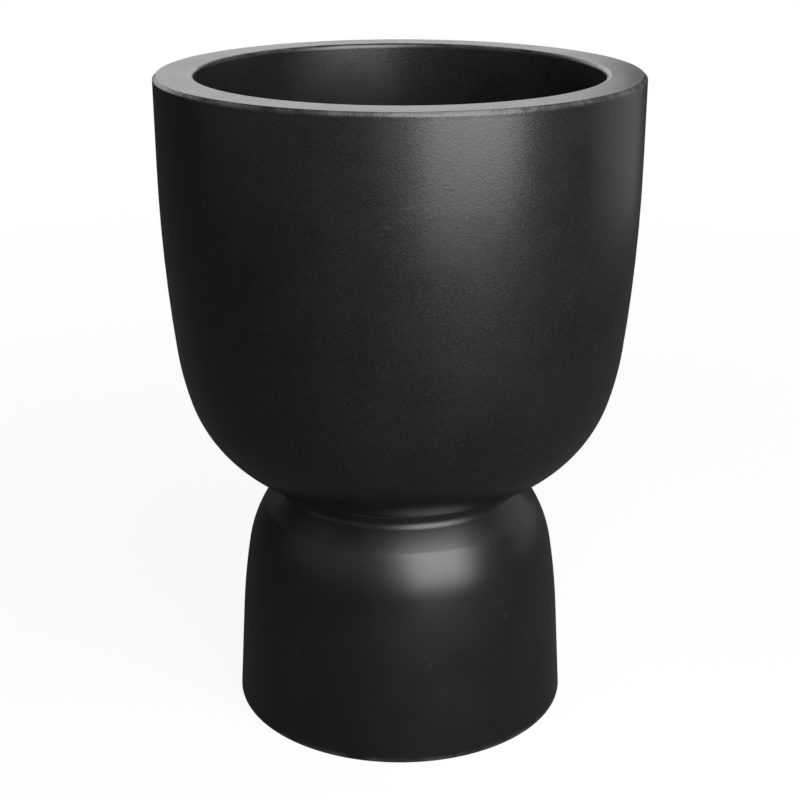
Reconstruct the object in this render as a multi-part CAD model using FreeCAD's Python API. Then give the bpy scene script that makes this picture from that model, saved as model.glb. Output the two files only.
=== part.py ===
import FreeCAD, Part
import math
import os

from FreeCAD import Vector

# A two-piece urn planter, in millimetres. The floor is z = 0 and the axis of both mouldings is +Z.
# The bowl is a double-skinned moulding, drawn solid between its outside and its planting well.
# Angles, in degrees, are those of the outward normal of a half section: 0 looks out, 90 looks up.

# Bowl, outside
BOWL_RADIUS = 200.0         # widest radius, the straight wall under the rim
BOWL_HEIGHT = 350.0         # seat on the foot to the flat of the rim
RIM_CHAMFER = 2.75          # 45 degree chamfer round the outside of the rim
SWELL_RADIUS = 1340.0       # first, slow curve below the straight wall
SWELL_END = 6.7
TURN_RADIUS = 250.0         # quicker curve into the belly
TURN_END = 17.0
BELLY_RADIUS = 118.0        # round underside, down to the neck
NECK_RADIUS = 105.0         # where bowl and foot meet

# Bowl, inside
RIM_WIDTH = 33.0            # flat of the rim with its rounded and chamfered edges
MOUTH_FILLET = 4.0          # rounded inner edge of the rim
WELL_DRAFT = 1.4            # taper of the well's wall, degrees
WELL_CORNER_RADIUS = 80.0   # curve from the well's wall to its floor
FLOOR_HEIGHT = 32.0         # well floor above the seat
SUMP_RADIUS = 36.0          # floor of the sump, where the two skins join
SUMP_FLARE = 28.0           # slope of the sump's side from upright, degrees
PAD_THICKNESS = 12.0        # joined skins under the sump
SPIGOT_RADIUS = 42.0        # boss under the bowl that centres it on the foot
SPIGOT_DEPTH = 6.0

# Foot
FOOT_HEIGHT = 210.0         # floor to the seat
FOOT_BASE_RADIUS = 147.3
FOOT_TAPER = 3.5            # straight lower side, leaning in
FOOT_SIDE_RADIUS = 620.0
FOOT_SIDE_END = 9.5
FOOT_HAUNCH_RADIUS = 112.0
FOOT_HAUNCH_END = 30.0
FOOT_SHOULDER_RADIUS = 52.0
NECK_FILLET = 10.0          # hollow curve from the shoulder up to the collar
COLLAR_HEIGHT = 5.5         # upright collar right under the bowl
FOOT_WALL = 5.0
DECK_THICKNESS = 8.0        # flat top of the foot, which carries the bowl
SPIGOT_CLEARANCE = 0.5      # radial, spigot in the deck's opening

# Screws that hold the foot, M8
SCREW_COUNT = 4
SCREW_CIRCLE_RADIUS = 75.0
SCREW_RADIUS = 4.0
SCREW_LENGTH = 20.0         # under the head
SCREW_HEAD_FLATS = 13.0
SCREW_HEAD_HEIGHT = 5.3
SCREW_TIP_CHAMFER = 1.0
SCREW_HOLE_CLEARANCE = 0.5  # radial, in the deck
WASHER_RADIUS = 12.0
WASHER_THICKNESS = 2.0
WASHER_CLEARANCE = 0.2      # radial, on the screw
INSERT_FLATS = 14.0         # hexagonal brass insert
INSERT_LENGTH = 16.0
INSERT_BORE_DEPTH = 13.0
INSERT_GROOVE_DEPTH = 1.2   # round groove that the moulding fills
INSERT_GROOVE_WIDTH = 4.0
THREAD_CLEARANCE = 0.05     # radial, threads drawn plain

# Drain fitting
BUSH_RADIUS = 20.0
BUSH_HOLE_CLEARANCE = 0.4   # radial, in the pad
BUSH_BORE_RADIUS = 12.0
BUSH_TAIL = 16.0            # below the spigot
FLANGE_RADIUS = 28.0
FLANGE_THICKNESS = 5.0
FLANGE_CHAMFER = 1.0
GASKET_THICKNESS = 2.5
NUT_FLATS = 52.0
NUT_HEIGHT = 10.0

# Drain plug and its ring
PLUG_CLEARANCE = 0.06       # radial, plug in the bush
PLUG_HEAD_RADIUS = 18.0
PLUG_HEAD_HEIGHT = 5.0
PLUG_NECK = 3.0             # plain length beside the ring
PLUG_THREAD_LENGTH = 12.0
PLUG_TIP_CHAMFER = 1.0
GRIP_WIDTH = 30.0
GRIP_HEIGHT = 14.0
GRIP_THICKNESS = 6.0
GRIP_CORNER = 5.0
GRIP_EDGE = 1.2
RING_SIDE = 2.5             # square section of the plug's ring
RING_CLEARANCE = 0.05       # to each wall of its seat

OVERCUT = 5.0               # how far a cutting form runs past the face that it opens

# Sizes that follow
MOUTH_RADIUS = BOWL_RADIUS - RIM_WIDTH
SEAT_Z = FOOT_HEIGHT
RIM_Z = SEAT_Z + BOWL_HEIGHT
FLOOR_Z = SEAT_Z + FLOOR_HEIGHT
SPIGOT_Z = SEAT_Z - SPIGOT_DEPTH
PAD_Z = SPIGOT_Z + PAD_THICKNESS
DECK_Z = SEAT_Z - DECK_THICKNESS
FLANGE_Z = PAD_Z + GASKET_THICKNESS
BUSH_TOP_Z = FLANGE_Z + FLANGE_THICKNESS
RING_SEAT_DEPTH = RING_SIDE + 2 * RING_CLEARANCE
PLUG_RADIUS = BUSH_BORE_RADIUS - PLUG_CLEARANCE

AXIS = Vector(0, 0, 1)
CENTRE = Vector(0, 0, 0)


def normal(angle):
    """Unit vector in the half section at this angle."""
    turn = math.radians(angle)
    return Vector(math.cos(turn), 0, math.sin(turn))


def tangent_arcs(start, angle, steps):
    """Arcs that run on from one another: steps are (radius, end angle), with a hollow arc's radius negative."""
    arcs = []
    for radius, end in steps:
        centre = start - normal(angle) * radius
        arcs.append((centre, radius, angle, end))
        start = centre + normal(end) * radius
        angle = end
    return arcs


class HalfSection:
    """Closed outline beside the axis, drawn point by point and then turned about it."""

    def __init__(self, r, z):
        self.first = Vector(r, 0, z)
        self.pen = self.first
        self.edges = []

    def line(self, r, z):
        end = Vector(r, 0, z)
        if (end - self.pen).Length > 1e-6:
            self.edges.append(Part.makeLine(self.pen, end))
        self.pen = end

    def arcs(self, arcs, inset=0.0):
        """Follow the arcs, or lines that lie inset behind them."""
        for centre, radius, start, end in arcs:
            points = [centre + normal(angle) * (radius - inset) for angle in (start, (start + end) / 2, end)]
            self.line(points[0].x, points[0].z)
            self.edges.append(Part.Arc(*points).toShape())
            self.pen = points[2]

    def turned(self):
        self.line(self.first.x, self.first.z)
        return Part.Face(Part.Wire(self.edges)).revolve(CENTRE, AXIS, 360)


def cylinder(radius, low, high):
    return Part.makeCylinder(radius, high - low, Vector(0, 0, low))


def hexagon(flats, low, high):
    """Upright hexagonal prism on the axis."""
    corner = flats / math.sqrt(3)
    points = [Vector(corner * math.cos(k * math.pi / 3), corner * math.sin(k * math.pi / 3), low) for k in range(7)]
    return Part.Face(Part.makePolygon(points)).extrude(Vector(0, 0, high - low))


def round_corners(flats, low, high, low_end=True, high_end=True):
    """Turned blank that takes the points off a hexagon's ends."""
    corner = flats / math.sqrt(3)
    drop = (corner - flats / 2) * math.tan(math.radians(30))
    blank = HalfSection(0, low)
    blank.line(flats / 2 if low_end else corner, low)
    blank.line(corner, low + (drop if low_end else 0))
    blank.line(corner, high - (drop if high_end else 0))
    blank.line(flats / 2 if high_end else corner, high)
    blank.line(0, high)
    return blank.turned()


def on_screw_circle(shape):
    """Copies of a piece made on the axis, one at each screw."""
    copies = []
    for k in range(SCREW_COUNT):
        copy = shape.copy()
        copy.translate(Vector(SCREW_CIRCLE_RADIUS, 0, 0))
        copy.rotate(CENTRE, AXIS, (k + 0.5) * 360 / SCREW_COUNT)
        copies.append(copy)
    return copies


# ---- bowl ----

def bowl_side():
    """Arcs of the bowl's outside from the neck up to the straight wall."""
    belly_top = (BOWL_RADIUS
                 - SWELL_RADIUS * (1 - math.cos(math.radians(SWELL_END)))
                 - TURN_RADIUS * (math.cos(math.radians(SWELL_END)) - math.cos(math.radians(TURN_END))))
    centre_r = belly_top - BELLY_RADIUS * math.cos(math.radians(TURN_END))
    neck_angle = -math.degrees(math.acos((NECK_RADIUS - centre_r) / BELLY_RADIUS))
    steps = [(BELLY_RADIUS, -TURN_END), (TURN_RADIUS, -SWELL_END), (SWELL_RADIUS, 0)]
    return tangent_arcs(Vector(NECK_RADIUS, 0, SEAT_Z), neck_angle, steps)


def bowl_block():
    """The bowl's outside as one closed form, with its spigot."""
    block = HalfSection(0, SPIGOT_Z)
    block.line(SPIGOT_RADIUS, SPIGOT_Z)
    block.line(SPIGOT_RADIUS, SEAT_Z)
    block.line(NECK_RADIUS, SEAT_Z)
    block.arcs(bowl_side())
    block.line(BOWL_RADIUS, RIM_Z - RIM_CHAMFER)
    block.line(BOWL_RADIUS - RIM_CHAMFER, RIM_Z)
    block.line(0, RIM_Z)
    return block.turned()


def well_side():
    """Arcs of the planting well: its floor corner, and the rounded edge of its mouth."""
    rise = 1 - math.sin(math.radians(WELL_DRAFT))
    wall = (RIM_Z - FLOOR_Z - (WELL_CORNER_RADIUS + MOUTH_FILLET) * rise) / math.cos(math.radians(WELL_DRAFT))
    lean = normal(90 - WELL_DRAFT)
    corner_r = MOUTH_RADIUS - wall * lean.x - WELL_CORNER_RADIUS * math.cos(math.radians(WELL_DRAFT))
    corner = tangent_arcs(Vector(corner_r, 0, FLOOR_Z), -90, [(WELL_CORNER_RADIUS, -WELL_DRAFT)])
    wall_foot = corner[0][0] + normal(-WELL_DRAFT) * WELL_CORNER_RADIUS
    mouth = tangent_arcs(wall_foot + lean * wall, -WELL_DRAFT, [(-MOUTH_FILLET, -90)])
    return corner, mouth


def well():
    """What the planting well and its sump take out of the bowl."""
    corner, mouth = well_side()
    flare = math.tan(math.radians(SUMP_FLARE))
    space = HalfSection(0, PAD_Z)
    space.line(SUMP_RADIUS, PAD_Z)
    space.line(SUMP_RADIUS + (FLOOR_Z - PAD_Z) * flare, FLOOR_Z)
    space.arcs(corner)
    space.arcs(mouth)
    space.line(space.pen.x, RIM_Z + OVERCUT)
    space.line(0, RIM_Z + OVERCUT)
    return space.turned()


def make_bowl():
    """The bowl's outside, less the well, the drain hole and the insert pockets."""
    drain_hole = cylinder(BUSH_RADIUS + BUSH_HOLE_CLEARANCE, SPIGOT_Z - OVERCUT, PAD_Z + OVERCUT)
    pockets = on_screw_circle(insert_outside())
    return bowl_block().cut([well(), drain_hole] + pockets)


# ---- foot ----

def foot_side():
    """Arcs of the foot's outside, from the top of its straight lower side to the collar."""
    haunch_end = math.cos(math.radians(FOOT_HAUNCH_END))
    steps = [(FOOT_SIDE_RADIUS, FOOT_SIDE_END), (FOOT_HAUNCH_RADIUS, FOOT_HAUNCH_END)]
    shoulder = -FOOT_HAUNCH_RADIUS * (math.cos(math.radians(FOOT_SIDE_END)) - haunch_end)
    shoulder -= FOOT_SIDE_RADIUS * (math.cos(math.radians(FOOT_TAPER)) - math.cos(math.radians(FOOT_SIDE_END)))
    rise = (FOOT_SIDE_RADIUS * (math.sin(math.radians(FOOT_SIDE_END)) - math.sin(math.radians(FOOT_TAPER)))
            + FOOT_HAUNCH_RADIUS * (math.sin(math.radians(FOOT_HAUNCH_END)) - math.sin(math.radians(FOOT_SIDE_END))))
    lean = math.tan(math.radians(FOOT_TAPER))
    straight = FOOT_HEIGHT - COLLAR_HEIGHT - rise
    crest = FOOT_HAUNCH_END
    # The straight side takes up what height the curves leave, and its lean moves the shoulder in.
    for _ in range(40):
        shoulder_r = FOOT_BASE_RADIUS - straight * lean + shoulder
        reach = NECK_RADIUS + NECK_FILLET + FOOT_SHOULDER_RADIUS * haunch_end - shoulder_r
        crest = math.degrees(math.acos(reach / (FOOT_SHOULDER_RADIUS + NECK_FILLET)))
        climb = (FOOT_SHOULDER_RADIUS + NECK_FILLET) * math.sin(math.radians(crest))
        climb -= FOOT_SHOULDER_RADIUS * math.sin(math.radians(FOOT_HAUNCH_END))
        straight = FOOT_HEIGHT - COLLAR_HEIGHT - rise - climb
    steps += [(FOOT_SHOULDER_RADIUS, crest), (-NECK_FILLET, 0)]
    return tangent_arcs(Vector(FOOT_BASE_RADIUS - straight * lean, 0, straight), FOOT_TAPER, steps)


def make_foot():
    """Open-bottomed dome with a flat deck and a collar."""
    side = foot_side()
    outside = HalfSection(0, 0)
    outside.line(FOOT_BASE_RADIUS, 0)
    outside.arcs(side)
    outside.line(NECK_RADIUS, SEAT_Z)
    outside.line(0, SEAT_Z)
    inside = HalfSection(0, 0)
    inside.line(FOOT_BASE_RADIUS - FOOT_WALL / math.cos(math.radians(FOOT_TAPER)), 0)
    inside.arcs(side, FOOT_WALL)
    inside.line(NECK_RADIUS - FOOT_WALL, SEAT_Z)
    inside.line(0, SEAT_Z)
    hollow = inside.turned().common(cylinder(FOOT_BASE_RADIUS, 0, DECK_Z))
    opening = cylinder(SPIGOT_RADIUS + SPIGOT_CLEARANCE, DECK_Z - OVERCUT, SEAT_Z + OVERCUT)
    screw_hole = cylinder(SCREW_RADIUS + SCREW_HOLE_CLEARANCE, DECK_Z - OVERCUT, SEAT_Z + OVERCUT)
    return outside.turned().cut([hollow, opening] + on_screw_circle(screw_hole))


# ---- inserts, screws and washers ----

def insert_outside():
    """Outside of one insert, which is also its pocket in the bowl."""
    top = SEAT_Z + INSERT_LENGTH
    body = hexagon(INSERT_FLATS, SEAT_Z, top)
    low = SEAT_Z + (INSERT_LENGTH - INSERT_GROOVE_WIDTH) / 2
    groove = cylinder(INSERT_FLATS, low, low + INSERT_GROOVE_WIDTH)
    groove = groove.cut(cylinder(INSERT_FLATS / 2 - INSERT_GROOVE_DEPTH, low, low + INSERT_GROOVE_WIDTH))
    return body.cut(groove)


def make_insert():
    bore = cylinder(SCREW_RADIUS + THREAD_CLEARANCE, SEAT_Z - OVERCUT, SEAT_Z + INSERT_BORE_DEPTH)
    return insert_outside().cut(bore)


def make_screw():
    """Hex head below the washer, shank up through the deck into the insert."""
    head_top = DECK_Z - WASHER_THICKNESS
    head_low = head_top - SCREW_HEAD_HEIGHT
    head = hexagon(SCREW_HEAD_FLATS, head_low, head_top)
    head = head.common(round_corners(SCREW_HEAD_FLATS, head_low, head_top, high_end=False))
    shank = HalfSection(0, head_top)
    shank.line(SCREW_RADIUS, head_top)
    shank.line(SCREW_RADIUS, head_top + SCREW_LENGTH - SCREW_TIP_CHAMFER)
    shank.line(SCREW_RADIUS - SCREW_TIP_CHAMFER, head_top + SCREW_LENGTH)
    shank.line(0, head_top + SCREW_LENGTH)
    return head.fuse(shank.turned()).removeSplitter()


def make_washer():
    low = DECK_Z - WASHER_THICKNESS
    return cylinder(WASHER_RADIUS, low, DECK_Z).cut(cylinder(SCREW_RADIUS + WASHER_CLEARANCE, low, DECK_Z))


# ---- drain fitting ----

def make_bush():
    """Flanged tube through the pad, with a seat for the plug's ring round the top of its bore."""
    ring_seat = BUSH_BORE_RADIUS + RING_SEAT_DEPTH
    low = SPIGOT_Z - BUSH_TAIL
    bush = HalfSection(BUSH_BORE_RADIUS, low)
    bush.line(BUSH_RADIUS, low)
    bush.line(BUSH_RADIUS, FLANGE_Z)
    bush.line(FLANGE_RADIUS, FLANGE_Z)
    bush.line(FLANGE_RADIUS, BUSH_TOP_Z - FLANGE_CHAMFER)
    bush.line(FLANGE_RADIUS - FLANGE_CHAMFER, BUSH_TOP_Z)
    bush.line(ring_seat, BUSH_TOP_Z)
    bush.line(ring_seat, BUSH_TOP_Z - RING_SEAT_DEPTH)
    bush.line(BUSH_BORE_RADIUS, BUSH_TOP_Z - RING_SEAT_DEPTH)
    return bush.turned()


def make_gasket():
    hole = cylinder(BUSH_RADIUS + BUSH_HOLE_CLEARANCE, PAD_Z, FLANGE_Z)
    return cylinder(FLANGE_RADIUS, PAD_Z, FLANGE_Z).cut(hole)


def make_nut():
    low = SPIGOT_Z - NUT_HEIGHT
    nut = hexagon(NUT_FLATS, low, SPIGOT_Z).common(round_corners(NUT_FLATS, low, SPIGOT_Z))
    return nut.cut(cylinder(BUSH_RADIUS + THREAD_CLEARANCE, low, SPIGOT_Z))


# ---- drain plug ----

def make_plug():
    """Round head with an upright finger grip, over a threaded shank drawn plain."""
    low = BUSH_TOP_Z - PLUG_NECK - PLUG_THREAD_LENGTH
    head_top = BUSH_TOP_Z + PLUG_HEAD_HEIGHT
    body = HalfSection(0, low)
    body.line(PLUG_RADIUS - PLUG_TIP_CHAMFER, low)
    body.line(PLUG_RADIUS, low + PLUG_TIP_CHAMFER)
    body.line(PLUG_RADIUS, BUSH_TOP_Z)
    body.line(PLUG_HEAD_RADIUS, BUSH_TOP_Z)
    body.line(PLUG_HEAD_RADIUS, head_top - GRIP_EDGE)
    body.line(PLUG_HEAD_RADIUS - GRIP_EDGE, head_top)
    body.line(0, head_top)
    grip = Part.makeBox(GRIP_WIDTH, GRIP_THICKNESS, PLUG_HEAD_HEIGHT / 2 + GRIP_HEIGHT,
                        Vector(-GRIP_WIDTH / 2, -GRIP_THICKNESS / 2, head_top - PLUG_HEAD_HEIGHT / 2))
    top = head_top + GRIP_HEIGHT
    corners = [edge for edge in grip.Edges
               if abs(edge.CenterOfMass.z - top) < 1e-6 and abs(edge.CenterOfMass.x) > GRIP_WIDTH / 2 - 1e-6]
    grip = grip.makeFillet(GRIP_CORNER, corners)
    return body.turned().fuse(grip).removeSplitter()


def make_ring():
    """Square-cut rubber ring under the plug's head, round the top of its shank."""
    low = BUSH_TOP_Z - RING_CLEARANCE - RING_SIDE
    inner = BUSH_BORE_RADIUS + RING_CLEARANCE
    ring = cylinder(inner + RING_SIDE, low, low + RING_SIDE)
    return ring.cut(cylinder(inner, low, low + RING_SIDE))


PIECES = {
    "bowl": [make_bowl()],
    "foot": [make_foot()],
    "insert_nuts": on_screw_circle(make_insert()),
    "hex_screws": on_screw_circle(make_screw()),
    "flat_washers": on_screw_circle(make_washer()),
    "drain_bush": [make_bush()],
    "bush_gasket": [make_gasket()],
    "bush_nut": [make_nut()],
    "drain_plug": [make_plug()],
    "plug_ring": [make_ring()],
}

os.makedirs("parts", exist_ok=True)
for name, solids in PIECES.items():
    shape = solids[0] if len(solids) == 1 else Part.makeCompound(solids)
    shape.exportStep("parts/" + name + ".step")
    box = shape.BoundBox
    print(name, "solids", len(shape.Solids), "valid", shape.isValid(), "volume cm3", round(shape.Volume / 1000, 1),
          "z", round(box.ZMin, 2), round(box.ZMax, 2), "x", round(box.XMin, 2), round(box.XMax, 2))
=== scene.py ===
import math

import bpy
import numpy as np
from mathutils import Matrix, Vector


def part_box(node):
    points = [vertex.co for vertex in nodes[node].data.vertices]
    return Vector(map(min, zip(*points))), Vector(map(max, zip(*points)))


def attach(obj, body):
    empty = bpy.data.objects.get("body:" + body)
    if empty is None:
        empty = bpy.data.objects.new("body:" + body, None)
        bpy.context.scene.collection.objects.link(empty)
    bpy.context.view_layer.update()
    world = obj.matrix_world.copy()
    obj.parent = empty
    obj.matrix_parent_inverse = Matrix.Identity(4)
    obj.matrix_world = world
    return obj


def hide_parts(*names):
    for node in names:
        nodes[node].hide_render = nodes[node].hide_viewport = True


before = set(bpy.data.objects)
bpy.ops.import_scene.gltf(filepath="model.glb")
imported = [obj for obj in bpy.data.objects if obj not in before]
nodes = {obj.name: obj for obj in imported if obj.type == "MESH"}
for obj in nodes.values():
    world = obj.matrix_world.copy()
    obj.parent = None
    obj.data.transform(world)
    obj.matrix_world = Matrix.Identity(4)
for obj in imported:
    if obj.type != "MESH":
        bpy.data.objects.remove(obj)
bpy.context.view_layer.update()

scene = bpy.context.scene
bowlLow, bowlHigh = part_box("bowl")
footLow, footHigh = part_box("foot")
seatZ = footHigh.z  # where the bowl stands on its foot
rimZ = bowlHigh.z
up = 90.0  # angles are those of the outward normal in a half section: 0 looks out, 90 looks up
mm = 0.001
samePlace = 1e-7  # points closer than this are one point
print("frame read: bowl radius", round(bowlHigh.x, 4), "rim height", round(rimZ, 4))


# Arc run: centre + radius * (cos, sin) of angles evenly spaced between the two ends.
def arcRun(centre, radius, start, end, stepAngle):
    count = max(3, int(abs(end - start) / stepAngle) + 2)
    turn = np.radians(np.linspace(start, end, count))
    return np.stack([centre[0] + radius * np.cos(turn), centre[1] + radius * np.sin(turn)], axis=1)


# Tangent arcs: each centre lies on the last normal, behind the point by the radius; a hollow arc's radius is negative.
def tangentRun(startPoint, startAngle, steps, stepAngle):
    point, angle, runs = np.array(startPoint, float), startAngle, []
    for radius, end in steps:
        facing = np.array([math.cos(math.radians(angle)), math.sin(math.radians(angle))])
        centre = point - facing * radius
        runs.append(arcRun(centre, radius, angle, end, stepAngle))
        point, angle = runs[-1][-1], end
    return np.concatenate(runs)


# Rounded corner: the arc of that radius which touches both sides, from one touching point to the other.
def roundedCorner(before, corner, after, radius, steps=6):
    before, corner, after = (np.array(p, float) for p in (before, corner, after))
    inward = (before - corner) / np.linalg.norm(before - corner)
    outward = (after - corner) / np.linalg.norm(after - corner)
    halfAngle = math.acos(np.clip(inward @ outward, -1, 1)) / 2
    middle = (inward + outward) / np.linalg.norm(inward + outward)
    centre = corner + middle * radius / math.sin(halfAngle)
    first = corner + inward * radius / math.tan(halfAngle) - centre
    last = corner + outward * radius / math.tan(halfAngle) - centre
    share = np.linspace(0, 1, steps + 1)[:, None]
    turn = math.acos(np.clip(first @ last / (radius * radius), -1, 1))
    blend = (np.sin((1 - share) * turn) * first + np.sin(share * turn) * last) / math.sin(turn)
    return centre + blend


# Closed outline from stops: a plain point, a point with the rounding of its corner, or the rows of a ready arc.
# Two extra rows close to the ends of each straight side keep the shading of the rounded corners to themselves.
def closedOutline(stops, hold=0.25 * mm):
    def ends(stop):
        rows = np.atleast_2d(np.array(stop, float)[..., :2])
        return rows[0], rows[-1]

    runs = []
    for k, stop in enumerate(stops):
        if np.ndim(stop) == 2:
            runs.append(np.array(stop, float))
        elif len(stop) == 3:
            runs.append(roundedCorner(ends(stops[k - 1])[1], stop[:2], ends(stops[(k + 1) % len(stops)])[0], stop[2]))
        else:
            runs.append(np.array([stop], float))
    rows = []
    for k, run in enumerate(runs):
        rows.append(run)
        gap = runs[(k + 1) % len(runs)][0] - run[-1]
        length = np.linalg.norm(gap)
        if length > 4 * hold:
            rows.append(run[-1] + gap * np.array([[hold], [length - hold]]) / length)
    outline = np.concatenate(rows)
    apart = np.linalg.norm(outline - np.roll(outline, 1, axis=0), axis=1) > samePlace
    return outline[apart]


# New piece: a mesh from whole arrays, smooth but for edges sharper than the angle, tied to its body.
def makePiece(name, points, faces, body, slotName, sharp=40):
    mesh = bpy.data.meshes.new(name)
    mesh.from_pydata(points.tolist(), [], faces)
    mesh.update()
    mesh.shade_smooth()
    mesh.set_sharp_from_angle(angle=math.radians(sharp))
    piece = bpy.data.objects.new(name, mesh)
    scene.collection.objects.link(piece)
    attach(piece, body)
    return piece


# Grid faces: each cell joins its four neighbours, and both directions wrap where they are closed.
def gridFaces(rows, columns, wrapRows=True, wrapColumns=True):
    i = np.arange(rows if wrapRows else rows - 1)[:, None]
    j = np.arange(columns if wrapColumns else columns - 1)[None, :]
    nextI, nextJ = (i + 1) % rows, (j + 1) % columns
    cells = np.stack(np.broadcast_arrays(i * columns + j, i * columns + nextJ, nextI * columns + nextJ,
                                         nextI * columns + j), axis=-1)
    return cells.reshape(-1, 4)


# Turned grid: every outline row carried round the axis, (r cos a, r sin a, z), as rows x segments x 3.
def turnedGrid(outline, segments):
    turn = np.linspace(0, 2 * np.pi, segments, endpoint=False)
    r, z = outline[:, :1], outline[:, 1:]
    return np.stack([r * np.cos(turn), r * np.sin(turn), z * np.ones_like(turn)], axis=-1)


# Turned ring: the outline is a closed loop beside the axis, so both directions of the grid wrap.
def turnedRing(outline, segments):
    grid = turnedGrid(outline, segments)
    return grid.reshape(-1, 3), gridFaces(len(outline), segments).tolist()


# Closed tube: a grid that wraps round only, with one flat face over each end row.
def closedTube(grid):
    rows, columns = grid.shape[:2]
    caps = [list(range(columns))[::-1], [(rows - 1) * columns + k for k in range(columns)]]
    return grid.reshape(-1, 3), gridFaces(rows, columns, wrapRows=False).tolist() + caps


# Parts joined in one mesh: each part's face numbers move up by the points before it.
def joinParts(parts):
    points, faces, start = [], [], 0
    for partPoints, partFaces in parts:
        points.append(partPoints)
        faces += [[k + start for k in face] for face in partFaces]
        start += len(partPoints)
    return np.concatenate(points), faces


thread = {"rowsPerPitch": 10, "flankSlope": 2.6, "crestFlat": 0.15, "onRadius": 1e-6}


# Thread: points on that radius move towards the axis by depth * wave(z / pitch - angle / turn), a wave with flat
# crests and roots, which fades out over the last half pitch at each end. A negative depth cuts outwards, in a bore.
def cutThread(grid, radius, low, high, pitch, depth):
    r = np.hypot(grid[..., 0], grid[..., 1])
    z = grid[..., 2]
    phase = (z / pitch - np.arctan2(grid[..., 1], grid[..., 0]) / (2 * np.pi)) % 1
    wave = np.clip(thread["flankSlope"] * (0.5 - np.abs(phase - 0.5)) - thread["crestFlat"], 0, 1)
    fade = np.clip((z - low) / (pitch / 2), 0, 1) * np.clip((high - z) / (pitch / 2), 0, 1)
    threaded = (np.abs(r - radius) < thread["onRadius"]) & (z > low) & (z < high)
    cut = np.where(threaded, depth * wave * fade, 0)
    grid[..., :2] *= (1 - cut / np.maximum(r, 1e-9))[..., None]
    return grid


# Rows of a threaded length: evenly spaced heights at one radius, the same number to each pitch.
def threadRows(radius, start, end, pitch):
    count = int(abs(end - start) / pitch * thread["rowsPerPitch"]) + 2
    return np.stack([np.full(count, radius), np.linspace(start, end, count)], axis=1)


# Hexagon: rows of (largest radius, height) whose radius is held inside six flats, flats / 2 / cos(angle to the flat).
def hexGrid(rows, flats, segments):
    turn = np.linspace(0, 2 * np.pi, segments, endpoint=False)
    wall = flats / 2 / np.cos(turn % (np.pi / 3) - np.pi / 6)
    r = np.minimum(rows[:, :1], wall[None, :])
    return np.stack([r * np.cos(turn), r * np.sin(turn), rows[:, 1:] * np.ones_like(turn)], axis=-1)


bowl = {
    "rimChamfer": 2.75 * mm, "edgeRound": 1.0 * mm,
    "swellRadius": 1.34, "swellEnd": 6.7, "turnRadius": 0.25, "turnEnd": 17.0, "bellyRadius": 0.118,
    "neckRadius": 0.105, "mouthRadius": 0.167, "mouthFillet": 4 * mm, "wellDraft": 1.4, "wellCorner": 0.08,
    "wellFloor": 0.032, "sumpRadius": 0.036, "sumpFlare": 28.0, "sumpRound": 2.5 * mm, "padThickness": 0.012,
    "spigotRadius": 0.042, "spigotDepth": 6 * mm, "drainHole": 0.0204, "seatRound": 0.6 * mm, "segments": 320,
}


# Outside from the neck up: belly, turn and swell are tangent arcs that end on the straight wall.
def bowlSide():
    swell, turn = math.radians(bowl["swellEnd"]), math.radians(bowl["turnEnd"])
    bellyTop = (bowlHigh.x - bowl["swellRadius"] * (1 - math.cos(swell))
                - bowl["turnRadius"] * (math.cos(swell) - math.cos(turn)))
    centreR = bellyTop - bowl["bellyRadius"] * math.cos(turn)
    neckAngle = -math.degrees(math.acos((bowl["neckRadius"] - centreR) / bowl["bellyRadius"]))
    steps = [(bowl["bellyRadius"], -bowl["turnEnd"]), (bowl["turnRadius"], -bowl["swellEnd"]),
             (bowl["swellRadius"], 0)]
    return tangentRun((bowl["neckRadius"], seatZ), neckAngle, steps, 1.2)


# Inside from the mouth down: rounded edge, drafted wall and floor corner, as tangent lines and arcs.
def wellSide():
    draft = math.radians(bowl["wellDraft"])
    floorZ = seatZ + bowl["wellFloor"]
    wall = (rimZ - floorZ - (bowl["wellCorner"] + bowl["mouthFillet"]) * (1 - math.sin(draft))) / math.cos(draft)
    cornerR = bowl["mouthRadius"] - wall * math.sin(draft) - bowl["wellCorner"] * math.cos(draft)
    corner = arcRun((cornerR, floorZ + bowl["wellCorner"]), bowl["wellCorner"], -bowl["wellDraft"], -up, 2.5)
    wallTop = corner[0] + wall * np.array([math.sin(draft), math.cos(draft)])
    edge = tangentRun(wallTop, 180 - bowl["wellDraft"], [(bowl["mouthFillet"], up)], 10)
    return edge[::-1], corner


# Section of the bowl: the drain's hole, the spigot, the outside up to the chamfered rim, and back down the inside. The
# sump's side leans out by tan(flare) for each unit of its height.
def bowlOutline():
    edge, corner = wellSide()
    floorZ = seatZ + bowl["wellFloor"]
    padZ = seatZ - bowl["spigotDepth"] + bowl["padThickness"]
    flare = math.tan(math.radians(bowl["sumpFlare"]))
    return closedOutline([
        (bowl["drainHole"], seatZ - bowl["spigotDepth"]),
        (bowl["spigotRadius"], seatZ - bowl["spigotDepth"], bowl["seatRound"]),
        (bowl["spigotRadius"], seatZ),
        bowlSide(),
        (bowlHigh.x, rimZ - bowl["rimChamfer"], bowl["edgeRound"]),
        (bowlHigh.x - bowl["rimChamfer"], rimZ, bowl["edgeRound"]),
        edge,
        corner,
        (bowl["sumpRadius"] + (floorZ - padZ) * flare, floorZ, bowl["sumpRound"]),
        (bowl["sumpRadius"], padZ, bowl["sumpRound"]),
        (bowl["drainHole"], padZ),
    ])


bowlPiece = makePiece("planterBowl", *turnedRing(bowlOutline(), bowl["segments"]), "planter", "moulded_black")
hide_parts("bowl")
print("bowl turned:", len(bowlPiece.data.polygons), "faces")


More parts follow.
